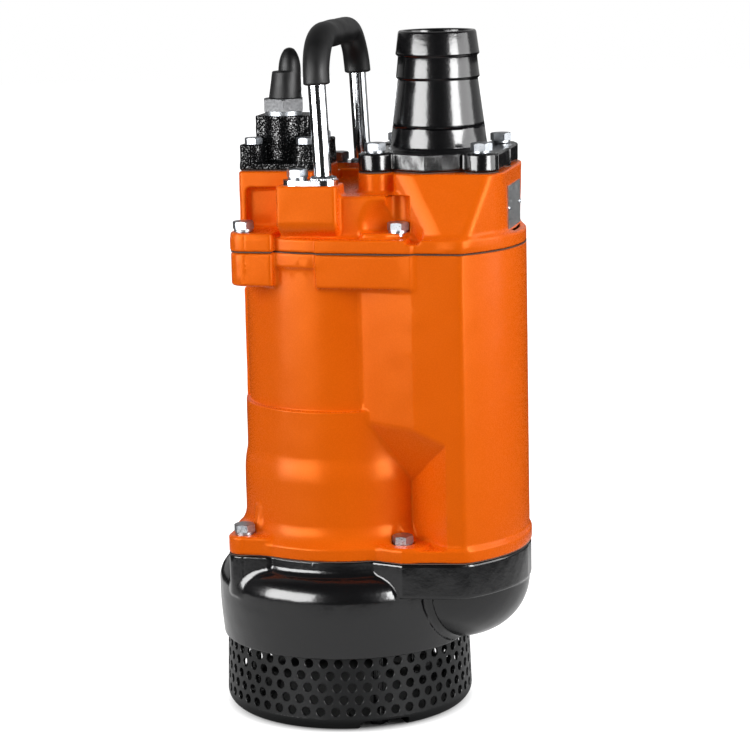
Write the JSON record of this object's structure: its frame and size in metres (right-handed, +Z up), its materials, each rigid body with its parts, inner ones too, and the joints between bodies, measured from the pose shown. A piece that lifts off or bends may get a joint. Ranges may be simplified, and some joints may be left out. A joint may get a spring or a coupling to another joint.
{
  "type": "submersible sump pump",
  "caption": "Slim submersible drainage pump with a strainer base, side water passage, top hose tail, cable gland and lifting handle.",
  "frame": {"origin": "on the motor shaft's axis, at the plane that the strainer stands on", "axes": "+Z up along the shaft, +X from the shaft towards the outlet, +Y away from the side with the cable gland"},
  "size_m": [0.3125, 0.254, 0.6742],
  "materials": {
    "strainer_steel": "satin black coated perforated sheet steel",
    "black_casting": "grey iron casting with glossy black paint",
    "inner_casting": "bare machined grey iron casting",
    "orange_casting": "aluminium casting with semi-gloss orange paint",
    "housing_casting": "iron casting with matte black textured paint",
    "zinc_steel": "zinc plated steel",
    "machined_steel": "ground and turned steel",
    "handle_steel": "bent and welded stainless steel bar",
    "lamination_steel": "stacked electrical steel sheet",
    "winding": "enamelled copper wire, resin impregnated",
    "rotor_aluminium": "die cast aluminium",
    "brass": "turned brass",
    "rubber": "moulded black rubber",
    "gasket": "cut gasket sheet",
    "seal_ceramic": "lapped ceramic",
    "seal_carbon": "pressed carbon",
    "plate": "blank brushed aluminium plate"
  },
  "bodies": {
    "pump_body": {"strainer": "strainer_steel", "strainer_studs": "zinc_steel", "strainer_nuts": "zinc_steel", "suction_cover": "black_casting", "suction_cover_screws": "zinc_steel", "volute_casing": "black_casting", "oil_housing": "inner_casting", "oil_housing_screws": "zinc_steel", "seal_seat_lower": "seal_ceramic", "seal_seat_upper": "seal_ceramic", "oil_lifter": "rotor_aluminium", "bearing_housing": "inner_casting", "lower_bearing_outer": "machined_steel", "bearing_circlip": "machined_steel", "stator_core": "lamination_steel", "stator_windings": "winding", "upper_bracket": "rotor_aluminium", "upper_bearing_outer": "machined_steel", "wave_washer": "machined_steel", "motor_casing": "orange_casting", "casing_gasket": "gasket", "casing_bolts": "zinc_steel", "casing_washers": "zinc_steel", "head_cover": "orange_casting", "cover_gasket": "gasket", "cover_bolts": "zinc_steel", "cover_washers": "zinc_steel", "thermal_protector": "seal_carbon", "cable_housing": "housing_casting", "housing_gasket": "gasket", "housing_bolts": "zinc_steel", "gland_collar": "zinc_steel", "gland_nut": "zinc_steel", "gland_packing": "rubber", "cable_boot": "rubber", "handle_bar": "handle_steel", "handle_grip": "rubber", "handle_bolts": "zinc_steel", "handle_washers": "zinc_steel", "hose_coupling": "black_casting", "flange_gasket": "gasket", "flange_bolts": "zinc_steel", "flange_washers": "zinc_steel", "nameplate": "plate", "nameplate_rivets": "machined_steel"},
    "rotor": {"shaft": "machined_steel", "impeller": "inner_casting", "impeller_nut": "brass", "impeller_washer": "zinc_steel", "impeller_key": "machined_steel", "rotor_core": "lamination_steel", "rotor_end_rings": "rotor_aluminium", "seal_ring_lower": "seal_carbon", "seal_bellows": "rubber", "seal_ring_upper": "seal_carbon", "lower_bearing_inner": "machined_steel", "upper_bearing_inner": "machined_steel"},
    "lower_balls": {"lower_bearing_balls": "machined_steel"},
    "upper_balls": {"upper_bearing_balls": "machined_steel"}
  },
  "joints": [
    {"name": "rotor_spin", "type": "hinge", "parent": "pump_body", "child": "rotor", "pos_m": [0, 0, 0.3], "axis": [0, 0, 1], "continuous": true},
    {"name": "lower_ball_spin", "type": "hinge", "parent": "pump_body", "child": "lower_balls", "pos_m": [0, 0, 0.2185], "axis": [0, 0, 1], "continuous": true},
    {"name": "upper_ball_spin", "type": "hinge", "parent": "pump_body", "child": "upper_balls", "pos_m": [0, 0, 0.4439], "axis": [0, 0, 1], "continuous": true}
  ],
  "couplings": [
    {"joint": "lower_ball_spin", "follows": "rotor_spin", "ratio": 0.3852},
    {"joint": "upper_ball_spin", "follows": "rotor_spin", "ratio": 0.3782}
  ]
}
